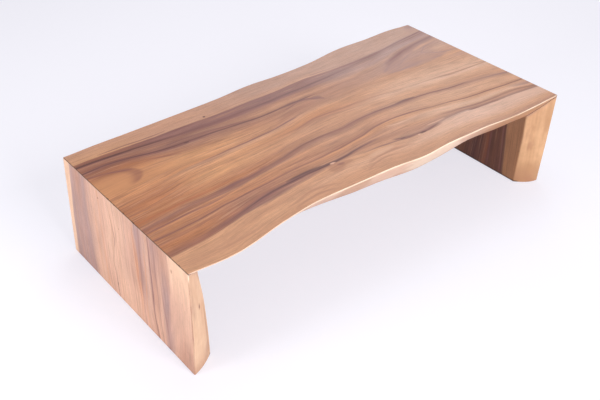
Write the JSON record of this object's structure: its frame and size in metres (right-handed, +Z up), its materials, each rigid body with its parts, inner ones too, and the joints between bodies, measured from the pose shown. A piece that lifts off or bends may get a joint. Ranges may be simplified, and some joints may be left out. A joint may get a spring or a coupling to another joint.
{
  "type": "rectangular coffee table",
  "caption": "Low live-edge waterfall coffee table: a thick wooden top turns down over mitred ends into slab legs, held by hidden loose tenons.",
  "frame": {"origin": "on the floor, under the middle of the table's overall box", "axes": "+X along the table's length, towards the wider end; +Y across it, from the front live edge to the back one; +Z up"},
  "size_m": [1.524, 0.7539, 0.355],
  "materials": {
    "slab_wood": "sanded live-edge hardwood with a thin satin oil; figured brown heartwood, pale sapwood along both edges",
    "tenon_wood": "plain planed hardwood, glued"
  },
  "bodies": {
    "root": {"top_slab": "slab_wood", "left_leg": "slab_wood", "right_leg": "slab_wood", "left_tenon_1": "tenon_wood", "left_tenon_2": "tenon_wood", "left_tenon_3": "tenon_wood", "left_tenon_4": "tenon_wood", "left_tenon_5": "tenon_wood", "left_tenon_6": "tenon_wood", "right_tenon_1": "tenon_wood", "right_tenon_2": "tenon_wood", "right_tenon_3": "tenon_wood", "right_tenon_4": "tenon_wood", "right_tenon_5": "tenon_wood", "right_tenon_6": "tenon_wood"}
  },
  "joints": []
}
